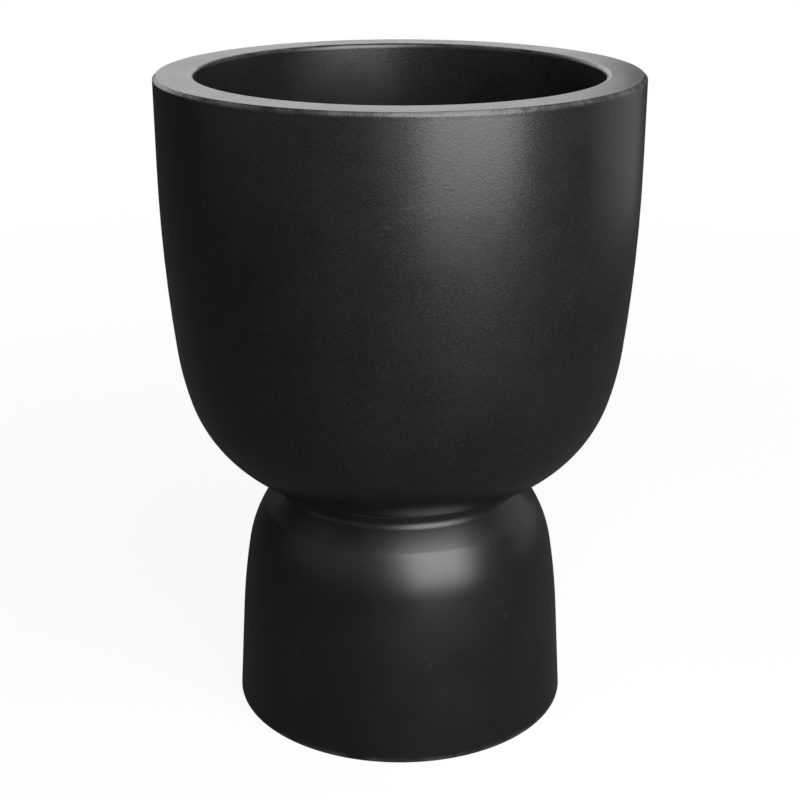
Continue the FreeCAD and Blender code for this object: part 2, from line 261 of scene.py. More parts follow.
foot = {
    "taper": 3.5, "sideRadius": 0.62, "sideEnd": 9.5, "haunchRadius": 0.112, "haunchEnd": 30.0,
    "shoulderRadius": 0.052, "crownStart": 30.0, "crest": 42.0, "neckFillet": 0.01, "collarHeight": 5.5 * mm,
    "wall": 5 * mm, "deck": 8 * mm, "opening": 0.0425, "baseRound": 0.8 * mm, "seatRound": 0.3 * mm, "segments": 320,
    "fitRounds": 40, "deckGap": 0.5 * mm,
}
deckZ = seatZ - foot["deck"]  # underside of the deck, which the washers touch


# Outside from the floor up: the straight taper takes what height the tangent arcs leave, found by repetition. Above
# the shoulder a tighter crown arc and a straight slope reach the neck's hollow; two equations give their lengths.
def footSide():
    taper, side, haunch = (math.radians(foot[key]) for key in ("taper", "sideEnd", "haunchEnd"))
    shoulder, fillet = foot["shoulderRadius"], foot["neckFillet"]
    inwards = foot["haunchRadius"] * (math.cos(side) - math.cos(haunch))
    inwards += foot["sideRadius"] * (math.cos(taper) - math.cos(side))
    rise = foot["sideRadius"] * (math.sin(side) - math.sin(taper))
    rise += foot["haunchRadius"] * (math.sin(haunch) - math.sin(side))
    top = seatZ - foot["collarHeight"]
    straight = top - rise
    for _ in range(foot["fitRounds"]):
        centreR = footHigh.x - straight * math.tan(taper) - inwards - shoulder * math.cos(haunch)
        climb = math.sqrt((shoulder + fillet) ** 2 - (bowl["neckRadius"] + fillet - centreR) ** 2)
        climb -= shoulder * math.sin(haunch)
        straight = top - rise - climb
    a, c = math.radians(foot["crownStart"]), math.radians(foot["crest"])
    startR = centreR + shoulder * math.cos(a)
    startZ = top - climb + shoulder * (math.sin(a) - math.sin(haunch))
    gap = [bowl["neckRadius"] - startR - fillet * (math.cos(c) - 1), top - startZ - fillet * math.sin(c)]
    crown, slope = np.linalg.solve([[math.cos(c) - math.cos(a), -math.sin(c)],
                                    [math.sin(c) - math.sin(a), math.cos(c)]], gap)
    steps = [(foot["sideRadius"], foot["sideEnd"]), (foot["haunchRadius"], foot["haunchEnd"]),
             (shoulder, foot["crownStart"]), (crown, foot["crest"])]
    hollow = (bowl["neckRadius"] - fillet * (math.cos(c) - 1), top - fillet * math.sin(c))
    return (footHigh.x - straight * math.tan(taper), straight), steps, hollow


# Section of the foot: outside and neck, the deck, and the inside, which is the same arcs with their radii less the
# wall, started one wall inwards of the outside. It stops just under the deck.
def footOutline():
    start, steps, hollow = footSide()
    taper = math.radians(foot["taper"])
    neck = tangentRun(hollow, foot["crest"], [(-foot["neckFillet"], 0)], 3)
    outside = np.concatenate([tangentRun(start, foot["taper"], steps, 1.5), neck])
    crest = math.radians(foot["crest"])
    insideStart = np.array(start) - foot["wall"] * np.array([math.cos(taper), math.sin(taper)])
    insideHollow = np.array(hollow) - foot["wall"] * np.array([math.cos(crest), math.sin(crest)])
    insideSteps = [(radius - foot["wall"], end) for radius, end in steps]
    insideNeck = [(-foot["neckFillet"] - foot["wall"], 0)]
    inside = np.concatenate([tangentRun(insideStart, foot["taper"], insideSteps, 3),
                             tangentRun(insideHollow, foot["crest"], insideNeck, 3)])
    below = inside[inside[:, 1] < deckZ - foot["deckGap"]]
    baseIn = footHigh.x - foot["wall"] / math.cos(taper)
    return closedOutline([
        (baseIn, 0, foot["baseRound"]),
        (footHigh.x, 0, foot["baseRound"]),
        outside,
        (bowl["neckRadius"], seatZ, foot["seatRound"]),
        (foot["opening"], seatZ),
        (foot["opening"], deckZ),
        (below[-1][0], deckZ),
        below[::-1],
    ])


footPiece = makePiece("planterFoot", *turnedRing(footOutline(), foot["segments"]), "planter", "moulded_black")
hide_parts("foot")
print("foot turned:", len(footPiece.data.polygons), "faces")


screws = {
    "count": 4, "circle": 0.075, "radius": 4 * mm, "length": 20 * mm, "tip": 1 * mm,
    "pitch": 1.25 * mm, "threadDepth": 0.68 * mm, "plainLength": 1.5 * mm, "sunk": 0.5 * mm,
    "flats": 13 * mm, "headHeight": 5.3 * mm, "faceRing": 5.9 * mm, "faceStep": 0.3 * mm, "underEdge": 0.2 * mm,
    "recessFloor": 0.86, "recessMouth": 0.9, "recessDepth": 0.12 * mm,  # the first two are shares of half the flats
    "segments": 48,
}
washers = {"radius": 12 * mm, "hole": 4.2 * mm, "thickness": 2 * mm, "softEdge": 0.35 * mm, "sharpEdge": 0.1 * mm,
           "segments": 48}
chamferSlope = math.tan(math.radians(30))  # hexagons are chamfered on a cone of 30 degrees


# Copies round the axis: the part moved out to the screw circle, and turned by a half and then whole steps.
def onScrewCircle(part):
    points, faces = part
    moved = points + np.array([screws["circle"], 0, 0])
    copies = []
    for k in range(screws["count"]):
        turn = 2 * np.pi * (k + 0.5) / screws["count"]
        spin = np.array([[np.cos(turn), np.sin(turn), 0], [-np.sin(turn), np.cos(turn), 0], [0, 0, 1]])
        copies.append((moved @ spin, faces))
    return joinParts(copies)


# Chamfered end of a hexagon: rows that open from the flats' radius to the corners, rise = slope * (radius - flats / 2).
def coneRows(flats, face, inward, steps=8):
    corner = flats / math.sqrt(3)
    rise = (corner - flats / 2) * chamferSlope * np.linspace(0, 1, steps)
    return np.stack([flats / 2 + rise / chamferSlope, face + inward * rise], axis=1)


# Screw, head down: a chamfered hexagon with a round raised face under it, and a turned shank whose thread starts a
# plain length above the washer and ends in a chamfered tip.
def screwPart():
    seat = deckZ - washers["thickness"]
    low, top, face = seat - screws["headHeight"], seat + screws["length"], seat - screws["faceStep"]
    flats, radius, threadLow = screws["flats"], screws["radius"], seat + screws["plainLength"]
    corner = flats / math.sqrt(3)
    head = np.concatenate([
        [[flats / 2 * screws["recessFloor"], low + screws["recessDepth"]], [flats / 2 * screws["recessMouth"], low]],
        coneRows(flats, low, 1),
        [[corner, face - screws["underEdge"]], [corner, face], [screws["faceRing"], face],
         [screws["faceRing"], seat]]])
    shank = np.concatenate([
        [[radius, seat - screws["sunk"]], [radius, threadLow]],
        threadRows(radius, threadLow + 0.1 * mm, top - screws["tip"], screws["pitch"]),
        [[radius - screws["tip"], top]]])
    shankGrid = cutThread(turnedGrid(shank, screws["segments"]), radius, threadLow, top,
                          screws["pitch"], screws["threadDepth"])
    return joinParts([closedTube(hexGrid(head, flats, screws["segments"])), closedTube(shankGrid)])


# Washer: a rectangle turned about the screw's axis, rounder on the side that the punch entered.
def washerPart():
    low, high = deckZ - washers["thickness"], deckZ
    inner, outer, soft, crisp = washers["hole"], washers["radius"], washers["softEdge"], washers["sharpEdge"]
    return turnedRing(closedOutline([(inner, low, soft), (outer, low, soft), (outer, high, crisp),
                                     (inner, high, crisp)], hold=0.1 * mm), washers["segments"])


screwPiece = makePiece("hexScrews", *onScrewCircle(screwPart()), "planter", "stainless")
washerPiece = makePiece("deckWashers", *onScrewCircle(washerPart()), "planter", "stainless")
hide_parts("hex_screws")
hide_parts("flat_washers")
print("screws and washers made:", len(screwPiece.data.polygons), "faces")


bush = {
    "radius": 20 * mm, "bore": 12 * mm, "tail": 16 * mm, "tailEdge": 0.8 * mm, "boreEdge": 0.6 * mm,
    "flangeRadius": 28 * mm, "flangeThickness": 5 * mm, "flangeChamfer": 1 * mm, "flangeRound": 0.3 * mm,
    "seatWidth": 2.6 * mm, "seatRound": 0.3 * mm, "tailPitch": 2 * mm, "tailDepth": 0.9 * mm,
    "borePitch": 3 * mm, "boreDepth": 0.51 * mm, "segments": 120,
}
gasket = {"thickness": 2.5 * mm, "hole": 20.4 * mm, "edgeRound": 0.7 * mm, "segments": 120}
nut = {"flats": 52 * mm, "height": 10 * mm, "bore": 20.05 * mm, "boreChamfer": 0.8 * mm, "chamferRows": 12,
       "sharpAngle": 25, "segments": 120}
spigotZ = seatZ - bowl["spigotDepth"]
padZ = spigotZ + bowl["padThickness"]
flangeZ = padZ + gasket["thickness"]
bushTopZ = flangeZ + bush["flangeThickness"]


# Bush: a closed outline round its wall, threaded outside on the tail, with threads cut into the bore's wall too.
def bushPart():
    tailZ = spigotZ - bush["tail"]
    bore, radius, flange = bush["bore"], bush["radius"], bush["flangeRadius"]
    seatR, seatLow, soft = bore + bush["seatWidth"], bushTopZ - bush["seatWidth"], bush["flangeRound"]
    tailLow, boreLow = tailZ + bush["tailEdge"], tailZ + bush["boreEdge"]
    outline = np.concatenate([
        [[bore, boreLow], [bore + bush["boreEdge"], tailZ], [radius - bush["tailEdge"], tailZ]],
        threadRows(radius, tailLow, spigotZ - 0.5 * mm, bush["tailPitch"]),
        [[radius, flangeZ]],
        closedOutline([(flange, flangeZ, soft), (flange, bushTopZ - bush["flangeChamfer"], soft),
                       (flange - bush["flangeChamfer"], bushTopZ, soft), (seatR, bushTopZ, soft),
                       (seatR, flangeZ)], hold=0.15 * mm)[:-1],
        [[seatR, seatLow], [bore + bush["seatRound"], seatLow]],
        threadRows(bore, seatLow - bush["seatRound"], boreLow + 0.1 * mm, bush["borePitch"])])
    grid = turnedGrid(outline, bush["segments"])
    grid = cutThread(grid, radius, tailLow - 0.1 * mm, spigotZ - 0.4 * mm, bush["tailPitch"], bush["tailDepth"])
    grid = cutThread(grid, bore, boreLow, seatLow, bush["borePitch"], -bush["boreDepth"])
    return grid.reshape(-1, 3), gridFaces(len(outline), bush["segments"]).tolist()


# Gasket: a rectangle between the pad and the flange, turned, with full soft edges.
def gasketPart():
    inner, outer, soft = gasket["hole"], bush["flangeRadius"], gasket["edgeRound"]
    return turnedRing(closedOutline([(inner, padZ, soft), (outer, padZ, soft), (outer, flangeZ, soft),
                                     (inner, flangeZ, soft)], hold=0.1 * mm), gasket["segments"])


# Nut: a hexagon with coned ends, whose inside is a plain bore opened by a small chamfer at each end.
def nutPart():
    low, high = spigotZ - nut["height"], spigotZ
    bore, flats, chamfer = nut["bore"], nut["flats"], nut["boreChamfer"]
    corner = flats / math.sqrt(3)
    outer = np.concatenate([[[bore + chamfer, low]], coneRows(flats, low, 1, nut["chamferRows"]),
                            [[corner, (low + high) / 2]], coneRows(flats, high, -1, nut["chamferRows"])[::-1],
                            [[bore + chamfer, high]]])
    inner = np.array([[bore, high - chamfer], [bore, low + chamfer]])
    grid = hexGrid(np.concatenate([outer, inner]), flats, nut["segments"])
    return grid.reshape(-1, 3), gridFaces(len(grid), nut["segments"]).tolist()


bushPiece = makePiece("drainBush", *bushPart(), "planter", "fitting_plastic")
gasketPiece = makePiece("bushGasket", *gasketPart(), "planter", "seal_rubber")
nutPiece = makePiece("bushNut", *nutPart(), "planter", "fitting_plastic", nut["sharpAngle"])
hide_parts("drain_bush")
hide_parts("bush_gasket")
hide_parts("bush_nut")
print("drain fitting made:", len(bushPiece.data.polygons), "faces in the bush")


plug = {
    "radius": 11.94 * mm, "neck": 3 * mm, "threadLength": 12 * mm, "pitch": 3 * mm, "threadDepth": 0.9 * mm,
    "tip": 1 * mm, "headRadius": 18 * mm, "headHeight": 5 * mm, "headEdge": 1.2 * mm, "headRound": 0.3 * mm,
    "rimWidth": 3.4 * mm, "dishSlope": 0.4 * mm, "dishDepth": 0.35 * mm, "flutes": 24, "fluteDepth": 0.5 * mm,
    "segments": 144,
}
grip = {
    "width": 30 * mm, "height": 14 * mm, "thickness": 6 * mm, "corner": 5 * mm, "edge": 1.2 * mm, "hollow": 0.7 * mm,
    "spread": 1.6 * mm, "sunk": 0.8 * mm, "squareness": 0.32, "segments": 96,
}
ring = {"side": 2.5 * mm, "gap": 0.05 * mm, "edgeRound": 0.35 * mm, "segments": 144}


# Plug body: tip, threaded shank, neck and a dished head in one turned outline; shallow flutes run round the head,
# depth * (1 - cos(flutes * angle)) / 2.
def plugBody():
    low, neckZ = bushTopZ - plug["neck"] - plug["threadLength"], bushTopZ - plug["neck"]
    top, dish = bushTopZ + plug["headHeight"], bushTopZ + plug["headHeight"] - plug["dishDepth"]
    radius, head, edge, soft = plug["radius"], plug["headRadius"], plug["headEdge"], plug["headRound"]
    rim, slope = head - plug["rimWidth"], plug["dishSlope"]
    outline = np.concatenate([
        [[radius - plug["tip"], low]],
        threadRows(radius, low + plug["tip"], neckZ, plug["pitch"]),
        [[radius, bushTopZ - 0.2 * mm], [radius, bushTopZ]],
        closedOutline([(head, bushTopZ, soft), (head, top - edge, soft), (head - edge, top, soft),
                       (radius, top), (radius, bushTopZ)], hold=0.2 * mm)[:-2],
        [[rim, top], [rim - slope, dish], [rim - 2 * slope, dish]]])
    grid = turnedGrid(outline, plug["segments"])
    grid = cutThread(grid, radius, low + plug["tip"] / 2, neckZ, plug["pitch"], plug["threadDepth"])
    turn = np.linspace(0, 2 * np.pi, plug["segments"], endpoint=False)
    side = (outline[:, 0] > head - 0.05 * mm) & (outline[:, 1] > bushTopZ + 0.25 * mm) & (outline[:, 1] < top - edge)
    groove = plug["fluteDepth"] * (0.5 - 0.5 * np.cos(turn * plug["flutes"])) / head
    grid[side, :, :2] *= (1 - groove)[None, :, None]
    return closedTube(grid)


# Grip: rounded rectangles stacked upwards; the half width follows a quarter circle at the upper corners, the half
# thickness another at the top edge, both flare at the foot, and the broad faces are hollowed by a cosine.
def gripPart():
    base = bushTopZ + plug["headHeight"]
    top = base + grip["height"]
    corner, edge, spread = grip["corner"], grip["edge"], grip["spread"]
    z = np.concatenate([[base - grip["sunk"]], base + spread * np.linspace(0, 1, 7),
                        np.linspace(base + spread + 0.5 * mm, top - corner, 10),
                        top - corner + (corner - edge) * np.linspace(0.12, 1, 8),
                        top - edge + edge * np.sin(np.linspace(0.15, np.pi / 2, 7))])
    flare = spread - np.sqrt(np.maximum(spread ** 2 - np.clip(base + spread - z, 0, spread) ** 2, 0))
    rise = np.clip(z - (top - corner), 0, corner)
    halfWide = grip["width"] / 2 - corner + np.sqrt(np.maximum(corner ** 2 - rise ** 2, 0)) + flare
    over = np.clip(z - (top - edge), 0, edge)
    halfThick = grip["thickness"] / 2 - edge + np.sqrt(np.maximum(edge ** 2 - over ** 2, 0)) + flare
    turn = np.linspace(0, 2 * np.pi, grip["segments"], endpoint=False)
    across = np.sign(np.cos(turn)) * np.abs(np.cos(turn)) ** grip["squareness"]
    along = np.sign(np.sin(turn)) * np.abs(np.sin(turn)) ** grip["squareness"]
    x = halfWide[:, None] * across
    y = halfThick[:, None] * along
    share = np.clip((z - base - spread) / (top - base - spread - edge), 0, 1)[:, None]
    hollow = grip["hollow"] * np.sin(np.pi * share) * np.cos(np.clip(x / halfWide[:, None], -1, 1) * np.pi / 2)
    y = y - np.sign(y) * hollow * np.clip(np.abs(along), 0, 1)
    return closedTube(np.stack([x, y, z[:, None] * np.ones_like(x)], axis=-1))


# Ring: a soft-edged square turned in the bush's seat, a hair clear of the bore and of the plug's head.
def ringPart():
    high = bushTopZ - ring["gap"]
    inner = bush["bore"] + ring["gap"]
    low, outer, soft = high - ring["side"], inner + ring["side"], ring["edgeRound"]
    return turnedRing(closedOutline([(inner, low, soft), (outer, low, soft), (outer, high, soft),
                                     (inner, high, soft)], hold=0.1 * mm), ring["segments"])


plugPiece = makePiece("drainPlug", *joinParts([plugBody(), gripPart()]), "plug", "fitting_plastic")
ringPiece = makePiece("plugRing", *ringPart(), "plug_seal", "seal_rubber")
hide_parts("drain_plug")
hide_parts("plug_ring")
print("plug made:", len(plugPiece.data.polygons), "faces")


# Node helper: adds a shader node, sets its options and the plain values of its sockets.
def addNode(tree, kind, values=None, **options):
    node = tree.nodes.new("ShaderNode" + kind)
    for key, value in options.items():
        setattr(node, key, value)
    for key, value in (values or {}).items():
        node.inputs[key].default_value = value
    return node


# Arithmetic on two sockets or numbers.
def compute(tree, operation, a, b=None):
    node = addNode(tree, "Math", operation=operation)
    for k, term in enumerate((a, b)):
        if isinstance(term, (int, float)):
            node.inputs[k].default_value = term
        elif term is not None:
            tree.links.new(term, node.inputs[k])
    return node.outputs[0]


# Rescale: a value between two bounds goes to a value between two others, held at both ends.
def rescale(tree, value, low, high, toLow=0.0, toHigh=1.0, smooth=False):
    node = addNode(tree, "MapRange", {"From Min": low, "From Max": high, "To Min": toLow, "To Max": toHigh},
                   interpolation_type="SMOOTHSTEP" if smooth else "LINEAR")
    tree.links.new(value, node.inputs["Value"])
    return node.outputs["Result"]


# Two colours mixed by a mask, each a socket or a plain colour.
def mixColour(tree, mask, a, b):
    node = addNode(tree, "Mix", data_type="RGBA")
    tree.links.new(mask, node.inputs[0])
    for k, colour in ((6, a), (7, b)):
        if isinstance(colour, tuple):
            node.inputs[k].default_value = (*colour, 1)
        else:
            tree.links.new(colour, node.inputs[k])
    return node.outputs[2]


# New node group: (label, kind, default) for each input, (label, kind) for each output, with its two end nodes.
def newGroup(name, inputs, outputs):
    group = bpy.data.node_groups.new(name, "ShaderNodeTree")
    for label, kind, value in inputs:
        socket = group.interface.new_socket(label, in_out="INPUT", socket_type="NodeSocket" + kind)
        if value is not None:
            socket.default_value = value
    for label, kind in outputs:
        group.interface.new_socket(label, in_out="OUTPUT", socket_type="NodeSocket" + kind)
    return group, group.nodes.new("NodeGroupInput").outputs, group.nodes.new("NodeGroupOutput").inputs


# Places a group in a tree, fed with a position and with its own values.
def placeGroup(tree, group, vector, **values):
    node = tree.nodes.new("ShaderNodeGroup")
    node.node_tree = group
    tree.links.new(vector, node.inputs["Vector"])
    for label, value in values.items():
        node.inputs[label].default_value = value
    return node.outputs


# Moulded grain: noise - 0.8 * distance to the nearest pebble's centre; the Speck mask is the fine noise's peaks, which
# the black mouldings paint paler as painted glints.
def makeGrain():
    tree, given, result = newGroup("mouldGrain", [("Vector", "Vector", None), ("Pebbles", "Float", 650.0),
                                                  ("Fine", "Float", 1500.0)], [("Height", "Float"), ("Speck", "Float")])
    pebbles = addNode(tree, "TexVoronoi", feature="F1")
    fine = addNode(tree, "TexNoise", {"Detail": 2.0, "Roughness": 0.6})
    for node, label in ((pebbles, "Pebbles"), (fine, "Fine")):
        tree.links.new(given["Vector"], node.inputs["Vector"])
        tree.links.new(given[label], node.inputs["Scale"])
    pebbled = compute(tree, "MULTIPLY", pebbles.outputs["Distance"], -0.8)
    tree.links.new(compute(tree, "ADD", pebbled, fine.outputs["Fac"]), result["Height"])
    tree.links.new(rescale(tree, fine.outputs["Fac"], low=0.52, high=0.74), result["Speck"])
    return tree


# Waves: a slow noise for the unevenness of a moulded wall, and one 1.7 times finer for the drift of tone over it.
def makeWaves():
    tree, given, result = newGroup("mouldWaves", [("Vector", "Vector", None), ("Scale", "Float", 9.0)],
                                   [("Height", "Float"), ("Tone", "Float")])
    slow = addNode(tree, "TexNoise", {"Detail": 1.5, "Roughness": 0.45})
    tone = addNode(tree, "TexNoise", {"Detail": 3.0, "Roughness": 0.55})
    tree.links.new(given["Vector"], slow.inputs["Vector"])
    tree.links.new(given["Vector"], tone.inputs["Vector"])
    tree.links.new(given["Scale"], slow.inputs["Scale"])
    tree.links.new(compute(tree, "MULTIPLY", given["Scale"], 1.7), tone.inputs["Scale"])
    tree.links.new(slow.outputs["Fac"], result["Height"])
    tree.links.new(rescale(tree, tone.outputs["Fac"], low=0.3, high=0.7), result["Tone"])
    return tree


# Edge ring: one minus the distance to a ring round the axis, over a width, broken up by noise.
def makeEdgeRing():
    tree, given, result = newGroup("edgeRing", [("Vector", "Vector", None), ("Radius", "Float", 0.1),
                                                ("Height", "Float", 0.1), ("Width", "Float", 0.004)],
                                   [("Mask", "Float")])
    parts = addNode(tree, "SeparateXYZ")
    tree.links.new(given["Vector"], parts.inputs[0])
    x, y, z = parts.outputs
    out = compute(tree, "SQRT", compute(tree, "ADD", compute(tree, "MULTIPLY", x, x), compute(tree, "MULTIPLY", y, y)))
    across = compute(tree, "SUBTRACT", out, given["Radius"])
    along = compute(tree, "SUBTRACT", z, given["Height"])
    distance = compute(tree, "SQRT", compute(tree, "ADD", compute(tree, "MULTIPLY", across, across),
                                             compute(tree, "MULTIPLY", along, along)))
    near = compute(tree, "SUBTRACT", 1.0, compute(tree, "DIVIDE", distance, given["Width"]))
    patches = addNode(tree, "TexNoise", {"Scale": 60.0, "Detail": 5.0, "Roughness": 0.65})
    tree.links.new(given["Vector"], patches.inputs["Vector"])
    broken = rescale(tree, patches.outputs["Fac"], low=0.35, high=0.62)
    tree.links.new(compute(tree, "MULTIPLY", compute(tree, "MAXIMUM", near, 0.0), broken), result["Mask"])
    return tree


# Tool streaks: noise on the angle round the axis alone, so its lines run up and down.
def makeStreaks():
    tree, given, result = newGroup("toolStreaks", [("Vector", "Vector", None), ("Count", "Float", 60.0)],
                                   [("Height", "Float")])
    parts = addNode(tree, "SeparateXYZ")
    tree.links.new(given["Vector"], parts.inputs[0])
    angle = compute(tree, "ARCTAN2", parts.outputs[1], parts.outputs[0])
    lines = addNode(tree, "TexNoise", {"Scale": 1.0, "Detail": 3.0, "Roughness": 0.7}, noise_dimensions="1D")
    tree.links.new(compute(tree, "MULTIPLY", angle, given["Count"]), lines.inputs["W"])
    tree.links.new(lines.outputs["Fac"], result["Height"])
    return tree


# Settled dust: grows with how far the face looks up, in soft patches.
def makeDust():
    tree, given, result = newGroup("settledDust", [("Vector", "Vector", None), ("Amount", "Float", 0.2)],
                                   [("Mask", "Float")])
    facing = addNode(tree, "SeparateXYZ")
    tree.links.new(tree.nodes.new("ShaderNodeNewGeometry").outputs["Normal"], facing.inputs[0])
    level = rescale(tree, facing.outputs[2], low=0.15, high=0.95, smooth=True)
    patches = addNode(tree, "TexNoise", {"Scale": 22.0, "Detail": 6.0, "Roughness": 0.6})
    tree.links.new(given["Vector"], patches.inputs["Vector"])
    soft = compute(tree, "MULTIPLY", level, rescale(tree, patches.outputs["Fac"], low=0.3, high=0.75))
    tree.links.new(compute(tree, "MULTIPLY", soft, given["Amount"]), result["Mask"])
    return tree


# Rub marks: short fine lines where a noise stretched along one way crosses its middle, thinned by a second noise.
def makeRubs():
    tree, given, result = newGroup("rubMarks", [("Vector", "Vector", None), ("Amount", "Float", 0.5)],
                                   [("Mask", "Float")])
    turned = addNode(tree, "Mapping", {"Rotation": (0.5, 0.9, 0.3), "Scale": (9.0, 95.0, 60.0)})
    tree.links.new(given["Vector"], turned.inputs["Vector"])
    lines = addNode(tree, "TexNoise", {"Scale": 1.0, "Detail": 2.0, "Distortion": 0.4})
    tree.links.new(turned.outputs[0], lines.inputs["Vector"])
    apart = compute(tree, "ABSOLUTE", compute(tree, "SUBTRACT", lines.outputs["Fac"], 0.5))
    thin = compute(tree, "SUBTRACT", 1.0, rescale(tree, apart, low=0.0, high=0.008))
    places = addNode(tree, "TexNoise", {"Scale": 17.0, "Detail": 2.0})
    tree.links.new(given["Vector"], places.inputs["Vector"])
    where = rescale(tree, places.outputs["Fac"], low=0.6, high=0.72)
    marks = compute(tree, "MULTIPLY", compute(tree, "MULTIPLY", thin, where), given["Amount"])
    tree.links.new(marks, result["Mask"])
    return tree


grainGroup, wavesGroup, edgeRingGroup = makeGrain(), makeWaves(), makeEdgeRing()
streaksGroup, dustGroup, rubsGroup = makeStreaks(), makeDust(), makeRubs()


# New material: the constants go on the shader's own sockets; what varies is linked afterwards.
def newMaterial(name, **constants):
    material = bpy.data.materials.new(name)
    material.use_nodes = True
    tree = material.node_tree
    shader = tree.nodes["Principled BSDF"]
    for key, value in constants.items():
        shader.inputs[key].default_value = value
    return material, tree, shader, tree.nodes.new("ShaderNodeTexCoord").outputs["Object"]


# Bumps one over another: (height socket, strength, depth in metres), the slowest first.
def stackBumps(tree, shader, layers):
    last = None
    for height, strength, depth in layers:
        bump = addNode(tree, "Bump", {"Strength": strength, "Distance": depth})
        tree.links.new(height, bump.inputs["Height"])
        if last:
            tree.links.new(last, bump.inputs["Normal"])
        last = bump.outputs["Normal"]
    tree.links.new(last, shader.inputs["Normal"])


# Roughness that drifts with the tone between its middle less and plus the drift.
def driftingRough(tree, waves, look):
    return rescale(tree, waves["Tone"], 0, 1, look["rough"] - look["roughDrift"], look["rough"] + look["roughDrift"])


# Moulded black plastic: tone drift, grain with painted glints on its peaks, dust on what looks up, paler rings along
# the edges that are partly wear and partly painted highlight, fine rubs.
def mouldedBlack(name, look):
    material, tree, shader, place = newMaterial(name, IOR=look["ior"])
    grain = placeGroup(tree, grainGroup, place, Pebbles=look["pebbles"], Fine=look["fine"])
    waves = placeGroup(tree, wavesGroup, place, Scale=look["waveScale"])
    dust = placeGroup(tree, dustGroup, place, Amount=look["dust"])["Mask"]
    rubs = placeGroup(tree, rubsGroup, place, Amount=look["rubs"])["Mask"]
    wearAndHighlight = None
    for radius, height, width in look["wearAndHighlightRings"]:
        mask = placeGroup(tree, edgeRingGroup, place, Radius=radius, Height=height, Width=width)["Mask"]
        wearAndHighlight = compute(tree, "MAXIMUM", wearAndHighlight, mask) if wearAndHighlight else mask
    colour = mixColour(tree, waves["Tone"], look["dark"], look["light"])
    # Painted glints: the grain's peaks are painted paler, standing in for light that the grain catches.
    colour = mixColour(tree, compute(tree, "MULTIPLY", grain["Speck"], look["paintedGlint"]), colour, look["paintedGlintColour"])
    # Paler rings along the edges: partly wear, partly a painted highlight on the edges they follow, such as the rim's
    # chamfer and the mouth's rounded edge.
    colour = mixColour(tree, compute(tree, "MULTIPLY", wearAndHighlight, look["wearAndHighlight"]), colour, look["wearAndHighlightColour"])
    colour = mixColour(tree, rubs, colour, look["wearAndHighlightColour"])
    colour = mixColour(tree, dust, colour, look["dustColour"])
    tree.links.new(colour, shader.inputs["Base Color"])
    rough = compute(tree, "ADD", driftingRough(tree, waves, look), compute(tree, "MULTIPLY", dust, look["dustRough"]))
    rough = compute(tree, "SUBTRACT", rough, compute(tree, "MULTIPLY", wearAndHighlight, look["wearGloss"]))
    tree.links.new(compute(tree, "ADD", rough, compute(tree, "MULTIPLY", grain["Speck"], look["speckRough"])),
                   shader.inputs["Roughness"])
    layers = [(waves["Height"], look["waveBump"], look["waveDepth"])]
    if look["streaks"]:
        marks = look["streaks"]
        streaks = placeGroup(tree, streaksGroup, place, Count=marks["count"])["Height"]
        band = placeGroup(tree, edgeRingGroup, place, Radius=marks["radius"], Height=marks["height"],
                          Width=marks["width"])["Mask"]
        layers.append((compute(tree, "MULTIPLY", streaks, band), marks["bump"], marks["depth"]))
    layers.append((grain["Height"], look["grainBump"], look["grainDepth"]))
    stackBumps(tree, shader, layers)
    return material


edgeInset = 1.4 * mm  # the ring of wear and painted highlight runs along the middle of the rim's chamfer
bowlLook = {
    "ior": 1.54, "dark": (0.0045, 0.0045, 0.0048), "light": (0.0068, 0.0068, 0.0071),
    "rough": 0.30, "roughDrift": 0.025,
    "pebbles": 520.0, "fine": 900.0, "grainBump": 0.35, "grainDepth": 0.12 * mm,
    "waveScale": 9.0, "waveBump": 0.3, "waveDepth": 1.2 * mm,
    "paintedGlint": 0.25, "paintedGlintColour": (0.05, 0.05, 0.05), "speckRough": 0.05,
    "wearAndHighlight": 0.8, "wearAndHighlightColour": (0.07, 0.07, 0.07), "wearGloss": 0.1, "rubs": 0.25,
    "dust": 0.12, "dustColour": (0.13, 0.125, 0.115), "dustRough": 0.25,
    "wearAndHighlightRings": [(bowlHigh.x - edgeInset, rimZ - edgeInset, 3.5 * mm),  # radius, height and width of each ring
                  (bowl["mouthRadius"] + 1.2 * mm, rimZ, 3.5 * mm)],
    "streaks": {"count": 170.0, "radius": bowlHigh.x - edgeInset, "height": rimZ - edgeInset, "width": 5 * mm,
                "bump": 0.5, "depth": 0.5 * mm},
}
footLook = dict(bowlLook, rough=0.34, roughDrift=0.02, grainBump=0.12, paintedGlint=0.04, rubs=0.35, dust=0.1, waveBump=0.35,
                wearAndHighlightRings=[(footHigh.x, 0.0, 5 * mm), (bowl["neckRadius"], seatZ, 2.5 * mm)], streaks=None)

bowlPiece.data.materials.append(mouldedBlack("bowlBlack", bowlLook))
footPiece.data.materials.append(mouldedBlack("footBlack", footLook))
print("black mouldings finished")


fittingLook = {
    "ior": 1.5, "dark": (0.042, 0.042, 0.045), "light": (0.058, 0.058, 0.061), "rough": 0.42, "roughDrift": 0.05,
    "pebbles": 1600.0, "fine": 2600.0, "grainBump": 0.3, "grainDepth": 0.06 * mm,
    "waveScale": 55.0, "waveBump": 0.2, "waveDepth": 0.3 * mm,
    "wearAndHighlight": 0.5, "wearWidth": 3 * mm, "rubs": 0.7, "wearAndHighlightColour": (0.12, 0.12, 0.12), "dust": 0.22, "dustRough": 0.3,
}
rubberLook = {
    "ior": 1.52, "dark": (0.024, 0.024, 0.024), "light": (0.036, 0.036, 0.036), "rough": 0.78, "roughDrift": 0.06,
    "pebbles": 1200.0, "fine": 3000.0, "grainBump": 0.4, "grainDepth": 0.08 * mm,
    "waveScale": 70.0, "waveBump": 0.3, "waveDepth": 0.3 * mm, "bloom": 0.4, "bloomColour": (0.09, 0.09, 0.085),
}
